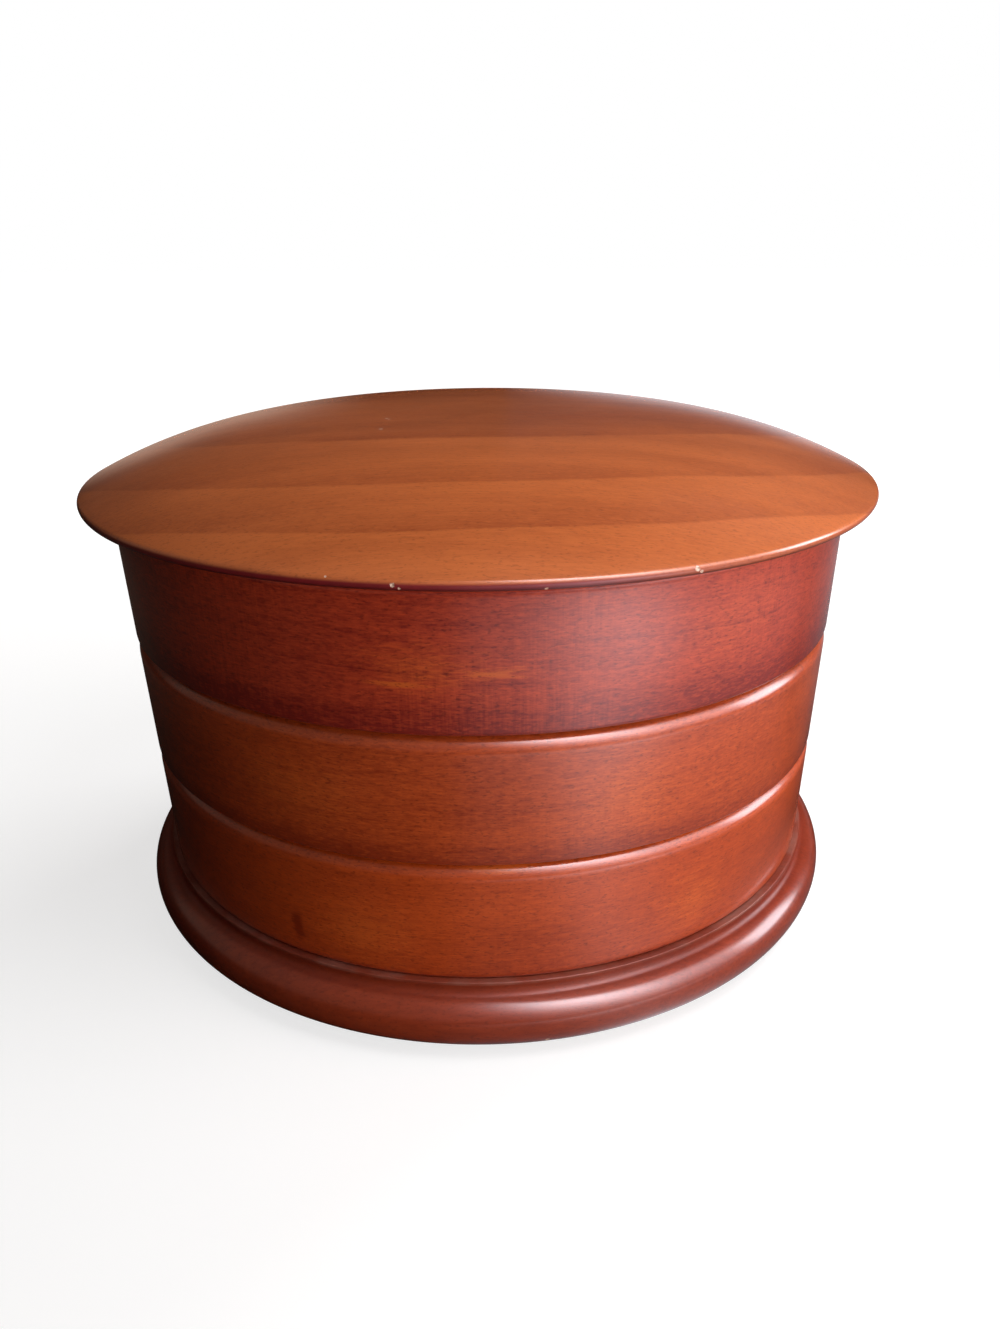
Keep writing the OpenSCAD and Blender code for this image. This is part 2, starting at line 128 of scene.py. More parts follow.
def cut(piece, cutter):
    """Cuts one shape out of a piece and throws the cutter away."""
    apply(piece, "BOOLEAN", operation="DIFFERENCE", solver="EXACT", object=cutter)
    bpy.data.objects.remove(cutter)
    return piece


chip_stand = 0.8
chip_ragged = 0.12
bare_share = 1.5


def chip(piece, azimuth, tilt, centre, radius, size, seed):
    """Knocks a shallow ragged chip out of a round edge, and gives its middle."""
    lean = math.radians(tilt)
    spot = around(azimuth, centre[0] + radius * math.cos(lean), centre[1] + radius * math.sin(lean))
    off = radius + size * chip_stand
    place = around(azimuth, centre[0] + off * math.cos(lean), centre[1] + off * math.sin(lean))
    lump = begin(bpy.ops.mesh.primitive_ico_sphere_add, "chip", subdivisions=3,
                 radius=size * mm, location=[c * mm for c in place])
    bpy.ops.object.mode_set(mode="EDIT")
    bpy.ops.mesh.select_all(action="SELECT")
    bpy.ops.transform.vertex_random(offset=size * mm * chip_ragged, seed=seed)
    bpy.ops.object.mode_set(mode="OBJECT")
    cut(piece, lump)
    return spot


def knocked(piece, chips, centre, radius, first_seed):
    """Chips a round edge at its (azimuth, tilt, size) places, and gives the spots that lie bare."""
    spots = []
    for number, (azimuth, tilt, size) in enumerate(chips):
        spot = chip(piece, azimuth, tilt, centre, radius, size, first_seed + number)
        spots.append((spot, size * bare_share))
    return spots


def put(tree, socket, value):
    """Sets an input to a value, or links it to an output."""
    if isinstance(value, bpy.types.NodeSocket):
        tree.links.new(value, socket)
    else:
        socket.default_value = value


def add(tree, kind, values=(), **settings):
    """One shader node with its settings, and its inputs set or linked by name."""
    made = tree.nodes.new("ShaderNode" + kind)
    for key, value in settings.items():
        setattr(made, key, value)
    for key, value in dict(values).items():
        put(tree, made.inputs[key], value)
    return made


def maths(tree, how, *values):
    """One step of arithmetic on values."""
    made = add(tree, "Math", operation=how)
    for socket, value in zip(made.inputs, values):
        put(tree, socket, value)
    return made.outputs[0]


def vectors(tree, how, *values):
    """One step of arithmetic on vectors."""
    made = add(tree, "VectorMath", operation=how)
    for socket, value in zip(made.inputs, values):
        put(tree, socket, value)
    return made.outputs["Value" if how in ("LENGTH", "DISTANCE") else "Vector"]


def noise(tree, at, scale, detail=2.0, roughness=0.5):
    """Soft noise from 0 to 1, with about one feature in each length of 1 / scale."""
    values = {"Vector": at, "Scale": scale, "Detail": detail, "Roughness": roughness}
    return add(tree, "TexNoise", values).outputs[0]


def span(tree, value, low, high, start=0.0, end=1.0):
    """A smooth step from start at low to end at high."""
    values = {"Value": value, "From Min": low, "From Max": high, "To Min": start, "To Max": end}
    return add(tree, "MapRange", values, interpolation_type="SMOOTHSTEP").outputs[0]


def mixed(tree, amount, first, second):
    """Mixes two colours."""
    made = add(tree, "Mix", data_type="RGBA")
    put(tree, made.inputs[0], amount)
    put(tree, made.inputs[6], first)
    put(tree, made.inputs[7], second)
    return made.outputs[2]


def ramp(tree, value, stops):
    """A level that changes along stops of (place from 0 to 1, level), the two ends first."""
    made = add(tree, "ValToRGB", {"Fac": value})
    points = made.color_ramp.elements
    for number, (place, shade) in enumerate(stops):
        point = points[number] if number < 2 else points.new(place)
        point.position = place
        point.color = (shade, shade, shade, 1)
    return made.outputs["Color"]


def node_group(name, inputs, outputs):
    """An empty shader group, with its input and output sockets."""
    tree = bpy.data.node_groups.new(name, "ShaderNodeTree")
    for label, kind in inputs.items():
        tree.interface.new_socket(name=label, in_out="INPUT", socket_type="NodeSocket" + kind)
    for label, kind in outputs.items():
        tree.interface.new_socket(name=label, in_out="OUTPUT", socket_type="NodeSocket" + kind)
    return tree, tree.nodes.new("NodeGroupInput").outputs, tree.nodes.new("NodeGroupOutput").inputs


def placed(tree, shared, **values):
    """Places a shared group in a material with its own values."""
    made = tree.nodes.new("ShaderNodeGroup")
    made.node_tree = shared
    for key, value in values.items():
        put(tree, made.inputs[key], value)
    return made.outputs


def new_finish(name):
    """A material with its node tree, its shader and the place on the piece in mm."""
    material = bpy.data.materials.new(name)
    material.use_nodes = True
    tree = material.node_tree
    shader = tree.nodes["Principled BSDF"]
    there = add(tree, "TexCoord").outputs["Object"]
    return material, tree, shader, vectors(tree, "MULTIPLY", there, [1 / mm] * 3)


def fit(piece, material, body, slot, *nodes):
    """Gives a piece its finish and its place on a body, in place of the nodes that it stands for."""
    piece.data.materials.clear()
    piece.data.materials.append(material)
    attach(piece, body)
    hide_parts(*nodes)


# The grain that all the wood shares: long fibres, short dark pores, light flecks and slow clouds.
# Grain is how far each direction is drawn out: a small number makes long fibres that way.
grain, given, gives = node_group(
    "wood_grain",
    {"Position": "Vector", "Grain": "Vector", "Light": "Color", "Dark": "Color", "Pore": "Color",
     "Figure": "Float", "Pores": "Float", "Flecks": "Float"},
    {"Color": "Color", "Height": "Float"})
along = vectors(grain, "MULTIPLY", given["Position"], given["Grain"])
short = vectors(grain, "MULTIPLY_ADD", given["Grain"], (0.75, 0.75, 0.75), (0.25, 0.25, 0.25))
short = vectors(grain, "MULTIPLY", given["Position"], short)
fibre = noise(grain, along, 1.5, 4.0, 0.7)
cloud = noise(grain, along, 0.1, 2.0)
pores = span(grain, noise(grain, short, 3.0, 1.0), 0.56, 0.72)
flecks = span(grain, noise(grain, short, 2.2, 0.0), 0.6, 0.8)
tone = maths(grain, "MULTIPLY_ADD", fibre, 1.0, -0.5)
tone = maths(grain, "ADD", tone, maths(grain, "MULTIPLY_ADD", cloud, 0.9, -0.45))
tone = add(grain, "Clamp", {"Value": maths(grain, "ADD", tone, given["Figure"])}).outputs[0]
wood = mixed(grain, tone, given["Light"], given["Dark"])
wood = mixed(grain, maths(grain, "MULTIPLY", pores, given["Pores"]), wood, given["Pore"])
wood = mixed(grain, maths(grain, "MULTIPLY", flecks, given["Flecks"]), wood, given["Light"])
put(grain, gives["Color"], wood)
put(grain, gives["Height"], maths(grain, "MULTIPLY_ADD", fibre, 0.4, maths(grain, "MULTIPLY", pores, -0.8)))

# Where the lacquer is knocked off and pale wood shows: Near is 1 at the middle of a knock.
worn, given, gives = node_group(
    "bare_wood", {"Position": "Vector", "Near": "Float", "Color": "Color", "Roughness": "Float"},
    {"Color": "Color", "Roughness": "Float"})
ragged = maths(worn, "MULTIPLY_ADD", noise(worn, given["Position"], 1.8, 3.0, 0.7), 0.9, -0.45)
bare = span(worn, maths(worn, "ADD", given["Near"], ragged), 0.45, 0.6)
pale = mixed(worn, noise(worn, given["Position"], 3.0, 2.0), (0.80, 0.62, 0.50, 1), (0.52, 0.27, 0.18, 1))
put(worn, gives["Color"], mixed(worn, bare, given["Color"], pale))
put(worn, gives["Roughness"], maths(worn, "MULTIPLY_ADD", bare, 0.25, given["Roughness"]))


def nearness(tree, position, spots):
    """1 in the middle of each (point, radius) spot, falling to 0 at its edge."""
    near = 0.0
    for point, radius in spots:
        far = vectors(tree, "DISTANCE", position, point)
        near = maths(tree, "MAXIMUM", near, maths(tree, "SUBTRACT", 1.0, maths(tree, "DIVIDE", far, radius)))
    return near


def bumped(tree, shader, strength, depth, height):
    """Lets a height of some depth in mm roughen a finish."""
    made = add(tree, "Bump", {"Strength": strength, "Distance": depth * mm, "Height": height})
    put(tree, shader.inputs["Normal"], made.outputs[0])


def lacquer(tree, shader, position, colour, height, roughness, spots=()):
    """Satin lacquer over stained wood, with bare wood at its knocked spots."""
    cloudy = span(tree, noise(tree, position, 0.05, 3.0), 0.3, 0.7, roughness - 0.04, roughness + 0.04)
    bared = placed(tree, worn, Position=position, Near=nearness(tree, position, spots),
                   Color=colour, Roughness=cloudy)
    put(tree, shader.inputs["Base Color"], bared["Color"])
    put(tree, shader.inputs["Roughness"], bared["Roughness"])
    shader.inputs["Specular IOR Level"].default_value = 0.3
    shader.inputs["Coat Weight"].default_value = 0.9
    shader.inputs["Coat Roughness"].default_value = 0.14
    bumped(tree, shader, 0.25, 0.06, height)


base_low, base_top = level("base_plate")
base_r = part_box("base_plate")[1].x / mm
tier_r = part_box("bottom_wall")[1].x / mm
ledge_w = 1.4
ledge_r = tier_r + ledge_w
ledge_t = 1
ledge_arris = 0.3
cove_r = 2.4
cove_x = ledge_r + cove_r
cove_z = base_top - ledge_t - base_low
bead_sum = cove_z + cove_r + base_r - cove_x
bead_r = bead_sum - math.sqrt(bead_sum ** 2 - (base_r - cove_x) ** 2 - cove_z ** 2 + cove_r ** 2)
foot_r = base_r - bead_r
bead_join = math.degrees(math.atan2(cove_z - bead_r, cove_x - foot_r))
base_section = [(0, base_low)]
base_section += arc((foot_r, base_low + bead_r), bead_r, -90, bead_join, 28)
base_section += arc((cove_x, base_low + cove_z), cove_r, 180 + bead_join, 180, 10)[1:]
base_section += arc((ledge_r - ledge_arris, base_top - ledge_arris), ledge_arris, 0, 90, 4)
base_section += [(0, base_top)]
base_plate = turned("base_plate_turned", base_section)
base_chips = [(9.1, -31, 0.8), (29.2, -42, 1.0), (39.7, -47, 0.9), (47.3, -47, 1.1)]
base_spots = knocked(base_plate, base_chips, (foot_r, base_low + bead_r), bead_r, 0)
smooth(base_plate)

base_finish, tree, shader, here = new_finish("base_lacquer")
wood = placed(tree, grain, Position=here, Grain=(0.1, 0.6, 0.6), Light=(0.32, 0.043, 0.012, 1),
              Dark=(0.12, 0.012, 0.005, 1), Pore=(0.03, 0.004, 0.003, 1), Figure=0.45, Pores=0.25,
              Flecks=0.1)
reach = vectors(tree, "LENGTH", vectors(tree, "MULTIPLY", here, (1, 1, 0)))
up = add(tree, "SeparateXYZ", {"Vector": here}).outputs["Z"]
ledge = maths(tree, "MULTIPLY", span(tree, reach, ledge_r + 0.05, ledge_r + 0.3, 1.0, 0.0),
              span(tree, up, base_top - 0.9, base_top - 0.5))
# A pale patchy band along the ledge's outer edge.
ledge_pale_patches = span(tree, noise(tree, here, 0.07, 3.0, 0.6), 0.4, 0.65, 0.05, 0.3)
hollow_r = foot_r + bead_r * math.cos(math.radians(bead_join))
# The cove is darkened as painted shade, and its lacquer is dulled.
cove_shade_and_dull = span(tree, reach, hollow_r - 0.2, hollow_r + 0.9, 1.0, 0.0)
base_colour = mixed(tree, maths(tree, "MULTIPLY", cove_shade_and_dull, 0.35), wood["Color"], (0.08, 0.008, 0.004, 1))
base_colour = mixed(tree, maths(tree, "MULTIPLY", ledge, ledge_pale_patches), base_colour, (0.34, 0.19, 0.15, 1))
lacquer(tree, shader, here, base_colour, wood["Height"], 0.34, base_spots)
put(tree, shader.inputs["Coat Weight"], maths(tree, "MULTIPLY_ADD", cove_shade_and_dull, -0.85, 0.9))
fit(base_plate, base_finish, "base", "base_wood", "base_plate")

# Base felt
# A disc of pressed green felt, glued under the base so that it doesn't scratch what it stands on.
# Its cut edge is a little rounded.
felt_round = 0.3


def felt_disc(name, centre, radius, low, high):
    """A felt disc from level to level with rounded edges."""
    middle = (low + high) / 2
    piece = begin(bpy.ops.mesh.primitive_cylinder_add, name, vertices=96, radius=radius * mm,
                  depth=(high - low) * mm, location=(centre[0] * mm, centre[1] * mm, middle * mm))
    apply(piece, "BEVEL", width=min(felt_round, (high - low) * 0.45) * mm, segments=3, limit_method="ANGLE")
    return smooth(piece, 40)


felt_finish, tree, shader, here = new_finish("pressed_felt")
hairs = noise(tree, here, 2.6, 5.0, 0.8)
tufts = noise(tree, here, 0.35, 3.0)
felt_colour = mixed(tree, hairs, (0.012, 0.030, 0.018, 1), (0.055, 0.105, 0.066, 1))
felt_colour = mixed(tree, maths(tree, "MULTIPLY", tufts, 0.4), felt_colour, (0.02, 0.05, 0.03, 1))
put(tree, shader.inputs["Base Color"], felt_colour)
shader.inputs["Roughness"].default_value = 0.95
shader.inputs["Sheen Weight"].default_value = 0.4
bumped(tree, shader, 0.6, 0.2, hairs)
felt_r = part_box("base_felt")[1].x / mm
base_felt = felt_disc("base_felt_disc", (0, 0), felt_r, *level("base_felt"))
fit(base_felt, felt_finish, "base", "felt", "base_felt")

# Tier walls
# Three turned rings of red-brown stained wood, each with a rounded top edge and a rabbet for its
# floor. The bottom one is glued to the base, and the other two turn on the post.
wall_t = 7
seam_round = 4
top_round = 2.5
foot_round = 1
lip_cut = 1
floor_top = 3.5
rabbet_w = 3
inner_r = tier_r - wall_t
leaf_half = 15.05
leaf_y = 84.45
leaf_t = 0.8


def block(name, low, high):
    """A plain block from corner to corner, to cut with or to shape further."""
    middle = [(a + b) / 2 * mm for a, b in zip(low, high)]
    extent = [(b - a) * mm for a, b in zip(low, high)]
    return begin(bpy.ops.mesh.primitive_cube_add, name, size=1, location=middle, scale=extent)


def tier_wall(node, edge_r):
    """A tier's ring, turned at the place of its node, with a rounded top edge."""
    low, high = level(node)
    section = arc((tier_r - foot_round, low + foot_round), foot_round, -90, 0, 6)
    section += arc((tier_r - edge_r, high - edge_r), edge_r, 0, 90, 18)
    section += arc((inner_r + lip_cut, high - lip_cut), lip_cut, 90, 180, 6)
    section += [(inner_r, low + floor_top), (inner_r + rabbet_w, low + floor_top)]
    section += [(inner_r + rabbet_w, low), section[0]]
    return turned(node + "_turned", section)


def tier_finish(node, light, dark, shift, slope, threads, lines, speckle, foot_shade, marks):
    """Red-brown stain: level grain round the ring, growth lines, upright cross figure, and marks.

    Speckle is how strong its fine figure is, and foot_shade how high the painted shade at its lower edge
    reaches.
    A mark is (azimuth, height on the wall, half its width, half its height, how much darker or lighter).
    """
    low = level(node)[0]
    material, tree, shader, here = new_finish(node + "_lacquer")
    moved = vectors(tree, "ADD", here, shift)
    x, y, z = add(tree, "SeparateXYZ", {"Vector": here}).outputs
    sway = noise(tree, vectors(tree, "MULTIPLY", moved, (0.012, 0.012, 0.04)), 1.0, 2.0)
    rise = maths(tree, "MULTIPLY_ADD", x, slope, maths(tree, "MULTIPLY_ADD", sway, 14.0, z))
    ring = maths(tree, "FRACT", maths(tree, "DIVIDE", rise, 6.5))
    patchy = noise(tree, vectors(tree, "MULTIPLY", moved, (0.03, 0.03, 0.12)), 1.0, 2.0)
    dark_line = maths(tree, "MULTIPLY", span(tree, ring, 0.0, 0.2, 1.0, 0.0), span(tree, patchy, 0.45, 0.65))
    upright = noise(tree, vectors(tree, "MULTIPLY", moved, (1.9, 1.9, 0.09)), 1.0, 2.0, 0.6)
    strong = span(tree, noise(tree, moved, 0.022, 1.0), 0.35, 0.6, 0.15, 1.0)
    cross = maths(tree, "MULTIPLY", maths(tree, "MULTIPLY_ADD", upright, 2.0, -1.0), strong)
    mottle = noise(tree, vectors(tree, "MULTIPLY", moved, (0.35, 0.35, 0.8)), 1.0, 4.0, 0.7)
    figure = maths(tree, "MULTIPLY_ADD", dark_line, lines, maths(tree, "MULTIPLY_ADD", cross, threads, 0.42))
    figure = maths(tree, "ADD", figure, maths(tree, "MULTIPLY_ADD", mottle, 0.8, -0.4))
    fine = noise(tree, vectors(tree, "MULTIPLY", moved, (0.5, 0.5, 2.4)), 1.0, 2.0, 0.6)
    figure = maths(tree, "ADD", figure, maths(tree, "MULTIPLY_ADD", fine, speckle, -0.5 * speckle))
    # Painted shade: each ring is drawn darker towards its lower edge.
    figure = maths(tree, "ADD", figure, span(tree, z, low, low + foot_shade, 0.6, 0.0))
    streaks = noise(tree, vectors(tree, "MULTIPLY", moved, (0.18, 0.18, 1.6)), 1.0, 2.0, 0.6)
    warm = 0.0
    for azimuth, up, half_w, half_h, change in marks:
        off = vectors(tree, "SUBTRACT", here, around(azimuth, tier_r, low + up))
        far = vectors(tree, "LENGTH", vectors(tree, "DIVIDE", off, (half_w, half_w, half_h)))
        far = maths(tree, "ADD", far, maths(tree, "MULTIPLY_ADD", streaks, 2.0, -1.0))
        mark = span(tree, far, -0.2, 1.3, 1.0, 0.0)
        figure = maths(tree, "MULTIPLY_ADD", mark, change, figure)
        warm = maths(tree, "MAXIMUM", warm, maths(tree, "MULTIPLY", mark, -1.6 * change))
    tint = mixed(tree, maths(tree, "MULTIPLY", warm, 0.8), light, (0.62, 0.125, 0.018, 1))
    wood = placed(tree, grain, Position=moved, Grain=(0.08, 0.08, 1.0), Light=tint, Dark=dark,
                  Pore=[c * 0.35 for c in dark[:3]] + [1], Figure=figure, Pores=0.45, Flecks=0.35)
    lacquer(tree, shader, here, wood["Color"], wood["Height"], 0.36)
    return material


tiers = {
    "bottom_wall": ("base", seam_round, {
        "light": (0.54, 0.076, 0.010, 1), "dark": (0.26, 0.026, 0.004, 1), "shift": (13, 40, 300),
        "slope": 0.02, "threads": 0.12, "lines": 0.15, "speckle": 0.7, "foot_shade": 2,
        "marks": [(-27.6, 7.6, 1.8, 4.0, 1.4), (3.0, 28.6, 8, 1.0, -0.5), (-17, 10, 13, 9, -0.3),
                  (7, 10, 15, 9, 0.25), (33, 11, 10, 9, -0.3)]}),
    "middle_wall": ("middle_tier", seam_round, {
        "light": (0.55, 0.085, 0.015, 1), "dark": (0.27, 0.030, 0.006, 1), "shift": (70, 10, 100),
        "slope": -0.1, "threads": 0.2, "lines": 0.25, "speckle": 1.2, "foot_shade": 7,
        "marks": [(-25, 14, 18, 9, -0.3), (8, 13, 18, 1.2, 0.25), (0, 14, 11, 9, 0.22),
                  (21, 14, 14, 9, -0.25)]}),
    "top_wall": ("top_tier", top_round, {
        "light": (0.50, 0.058, 0.020, 1), "dark": (0.20, 0.014, 0.009, 1), "shift": (0, 0, 0),
        "slope": 0.05, "threads": 0.5, "lines": 0.3, "speckle": 1.5, "foot_shade": 12,
        "marks": [(-6, 14, 13, 6, -0.3), (-8.8, 10.8, 8, 1.0, -0.6), (2.5, 13.2, 8, 1.4, -0.6),
                  (4.7, 11.0, 14, 0.5, 0.6), (-2, 23.0, 20, 1.2, 0.35), (36, 17, 17, 14, -0.12)]}),
}
walls = {}
wall_finishes = {}
for node, (body, edge_r, look) in tiers.items():
    walls[node] = tier_wall(node, edge_r)
    wall_finishes[node] = tier_finish(node, **look)
    fit(walls[node], wall_finishes[node], body, "tier_wood", node)
wall_high = level("top_wall")[1]
mortise = block("mortise", (-leaf_half, leaf_y, wall_high - leaf_t), (leaf_half, tier_r + 1, wall_high + 1))
smooth(cut(walls["top_wall"], mortise))

# Tier floors
# Discs of thin birch plywood that sit in the walls' rabbets and carry the pivot blocks.
# Their upper faces are lined, and their undersides are bare.


def refinish(material, *nodes):
    """Gives its finish to each piece that is shown as it was built."""
    for node in nodes:
        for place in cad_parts[node].material_slots:
            place.material = material


plywood_finish, tree, shader, here = new_finish("birch_plywood")
wood = placed(tree, grain, Position=here, Grain=(0.05, 0.7, 3.0), Light=(0.62, 0.43, 0.25, 1),
              Dark=(0.44, 0.27, 0.14, 1), Pore=(0.22, 0.12, 0.06, 1), Figure=0.35, Pores=0.4, Flecks=0.2)
put(tree, shader.inputs["Base Color"], wood["Color"])
put(tree, shader.inputs["Roughness"], span(tree, wood["Height"], -0.4, 0.4, 0.75, 0.6))
bumped(tree, shader, 0.3, 0.1, wood["Height"])
refinish(plywood_finish, "bottom_floor", "middle_floor", "top_floor")

# Linings
# Short-pile cream velvet: a strip glued round the inside of each wall, open at the pivot block,
# and a thin padded disc on each floor, cut out round that block.
velvet_finish, tree, shader, here = new_finish("cream_velvet")
pile = noise(tree, here, 3.2, 3.0, 0.7)
brushed = noise(tree, vectors(tree, "MULTIPLY", here, (1.0, 0.6, 1.4)), 0.09, 3.0, 0.6)
velvet_colour = mixed(tree, pile, (0.56, 0.47, 0.34, 1), (0.80, 0.71, 0.56, 1))
velvet_colour = mixed(tree, span(tree, brushed, 0.3, 0.75, 0.0, 0.3), velvet_colour, (0.50, 0.41, 0.29, 1))
put(tree, shader.inputs["Base Color"], velvet_colour)
shader.inputs["Roughness"].default_value = 0.9
shader.inputs["Sheen Weight"].default_value = 0.7
shader.inputs["Sheen Roughness"].default_value = 0.35
bumped(tree, shader, 0.5, 0.15, pile)

post_r = 3
post_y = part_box("pivot_post")[0].y / mm + post_r
boss_room = 13.3
web_half_room = 11.3
room_depth = 20
strip_t = 1
strip_gap = 0.05
strip_r = inner_r - strip_gap
strip_open = math.degrees(math.asin(web_half_room / strip_r)) + 0.1
pad_gap = 0.3
pad_r = inner_r - pad_gap
pad_under = 0.1
pad_round = 0.6
pad_crown = 0.25
pad_shoulder = 6
pad_dip = 0.12
pad_flat = 20
trays = {"bottom": "base", "middle": "middle_tier", "top": "top_tier"}
for tray, body in trays.items():
    node = tray + "_wall_lining"
    low, high = level(node)
    section = [(strip_r - strip_t, low), (strip_r, low)]
    section += arc((strip_r - strip_t / 2, high - strip_t / 2), strip_t / 2, 0, 180, 8)
    section += [(strip_r - strip_t, low)]
    strip = turned(tray + "_velvet_strip", section, 240, 180 - strip_open, 360 - 2 * strip_open)
    fit(strip, velvet_finish, body, "velvet", node)

    node = tray + "_floor_lining"
    low, high = level(node)
    section = [(0, low), (pad_r - pad_under, low)]
    section += arc((pad_r - pad_round, high - pad_crown - pad_round), pad_round, 0, 80, 6)
    section += [(pad_r - pad_shoulder, high - pad_dip), (pad_r - pad_flat, high), (0, high)]
    pad = turned(tray + "_velvet_pad", section, 180)
    boss = begin(bpy.ops.mesh.primitive_cylinder_add, "boss_room", vertices=96, radius=boss_room * mm,
                 depth=room_depth * mm, location=(0, post_y * mm, low * mm))
    cut(pad, boss)
    cut(pad, block("web_room", (-web_half_room, post_y, low - room_depth / 2),
                   (web_half_room, tier_r, low + room_depth / 2)))
    fit(smooth(pad, 50), velvet_finish, body, "velvet", node)

# Dividers
# Thin boards wrapped in the same velvet, with rounded top edges. They stand on the pads between
# the linings, and the middle tray's two are half-lapped where they cross.
board_t = 3
board_round = 1.2
at_top = 0.01


def round_top(piece, high, radius, segments):
    """Rounds over the upper edges of a block, whose top is at a level."""
    bpy.ops.object.select_all(action="DESELECT")
    piece.select_set(True)
    bpy.context.view_layer.objects.active = piece
    bpy.ops.object.mode_set(mode="EDIT")
    bpy.ops.mesh.select_mode(type="EDGE")
    bpy.ops.mesh.select_all(action="DESELECT")
    bpy.ops.object.mode_set(mode="OBJECT")
    points = piece.data.vertices
    for edge in piece.data.edges:
        edge.select = all(points[end].co.z / mm > high - at_top for end in edge.vertices)
    bpy.ops.object.mode_set(mode="EDIT")
    bpy.ops.mesh.bevel(offset=radius * mm, segments=segments, affect="EDGES")
    bpy.ops.object.mode_set(mode="OBJECT")


def wrapped_board(name, low, high):
    """A divider board with rounded top edges."""
    board = block(name, low, high)
    round_top(board, high[2], board_round, 5)
    return board


def corners(node):
    """A node's lowest and highest corners in mm."""
    return [[c / mm for c in corner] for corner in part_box(node)]


boards = {}
for node, body in (("bottom_divider", "base"), ("middle_cross_divider", "middle_tier"),
                   ("middle_long_divider", "middle_tier"), ("top_cross_divider", "top_tier"),
                   ("top_back_divider", "top_tier")):
    boards[node] = wrapped_board(node + "_board", *corners(node))
    fit(boards[node], velvet_finish, body, "velvet", node)
low, high = corners("top_side_dividers")
for side, x0, x1 in (("left", low[0], low[0] + board_t), ("right", high[0] - board_t, high[0])):
    board = wrapped_board("top_" + side + "_divider_board", (x0, low[1], low[2]), (x1, high[1], high[2]))
    boards[side] = board
    fit(board, velvet_finish, "top_tier", "velvet", "top_side_dividers")
long_low, long_high = corners("middle_long_divider")
cross_low, cross_high = corners("middle_cross_divider")
lap = (long_low[2] + long_high[2]) / 2
notch = 0.05
for node, z0, z1 in (("middle_cross_divider", lap, long_high[2] + 1),
                     ("middle_long_divider", long_low[2] - 1, lap)):
    cut(boards[node], block("lap", (long_low[0] - notch, cross_low[1] - notch, z0),
                            (long_high[0] + notch, cross_high[1] + notch, z1)))
for board in boards.values():
    smooth(board, 40)

# Ring rolls
# Seven padded velvet rolls that lie side by side in the top tray and hold rings between them.
# One is shaped and softened, and the others are copies of it, every other one turned end for end.
roll_low, roll_high = corners("ring_rolls")
roll_w = 10
roll_pitch = 10.6
roll_n = 7
roll_round = 4.6
roll_end_round = 1.6
roll_slices = 24
roll_puff = 0.5
roll_y = roll_high[1] - roll_w
roll = block("ring_roll_1", (roll_low[0], roll_y, roll_low[2]), (roll_high[0], roll_high[1], roll_high[2]))
round_top(roll, roll_high[2], roll_round, 8)
for i in range(1, roll_slices):
    slice_x = roll_low[0] + (roll_high[0] - roll_low[0]) * i / roll_slices
    bpy.ops.object.mode_set(mode="EDIT")
    bpy.ops.mesh.select_all(action="SELECT")
    bpy.ops.mesh.bisect(plane_co=(slice_x * mm, 0, 0), plane_no=(1, 0, 0))
    bpy.ops.object.mode_set(mode="OBJECT")
apply(roll, "BEVEL", width=roll_end_round * mm, segments=3, limit_method="ANGLE",
      angle_limit=math.radians(50))
soft = bpy.data.textures.new("roll_softness", "CLOUDS")
soft.noise_scale = 0.009
apply(roll, "DISPLACE", texture=soft, texture_coords="LOCAL", strength=roll_puff * mm, mid_level=0.85)
apply(roll, "SUBSURF", levels=1, render_levels=1)
smooth(roll, 60)


def copied(piece, name, change):
    """A copy of a piece with its own mesh, moved or turned in that mesh."""
    twin = piece.copy()
    twin.data = piece.data.copy()
    twin.name = name
    twin.data.transform(change)
    bpy.context.collection.objects.link(twin)
    return twin


rolls = [roll]
middle = Matrix.Translation((0, (roll_y + roll_w / 2) * mm, 0))
for number in range(1, roll_n):
    shift = Matrix.Translation((0, -roll_pitch * number * mm, 0))
    half_turn = Matrix.Rotation(math.pi * (number % 2), 4, "Z")
    rolls.append(copied(roll, f"ring_roll_{number + 1}", shift @ middle @ half_turn @ middle.inverted()))
for roll in rolls:
    fit(roll, velvet_finish, "top_tier", "velvet", "ring_rolls")

# Pivot blocks
# Blocks of the tiers' own wood, glued inside the back of each wall, that the post runs through.
# Their edges are eased by hand.
block_arris = 0.5


def eased(node, width):
    """A merged copy of a node's mesh with its sharp edges eased."""
    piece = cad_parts[node].copy()
    piece.data = piece.data.copy()
    piece.name = node + "_eased"
    bpy.context.collection.objects.link(piece)
    bpy.ops.object.select_all(action="DESELECT")
    piece.select_set(True)
    bpy.context.view_layer.objects.active = piece
    bpy.ops.object.mode_set(mode="EDIT")
    bpy.ops.mesh.select_all(action="SELECT")
    bpy.ops.mesh.remove_doubles(threshold=weld)
    bpy.ops.mesh.dissolve_limited(angle_limit=math.radians(1))
    bpy.ops.object.mode_set(mode="OBJECT")
    apply(piece, "BEVEL", width=width * mm, segments=2, limit_method="ANGLE", angle_limit=math.radians(40))
    return smooth(piece, 40)


for tray, body in trays.items():
    node = tray + "_pivot_block"
    fit(eased(node, block_arris), wall_finishes[tray + "_wall"], body, "tier_wood", node)

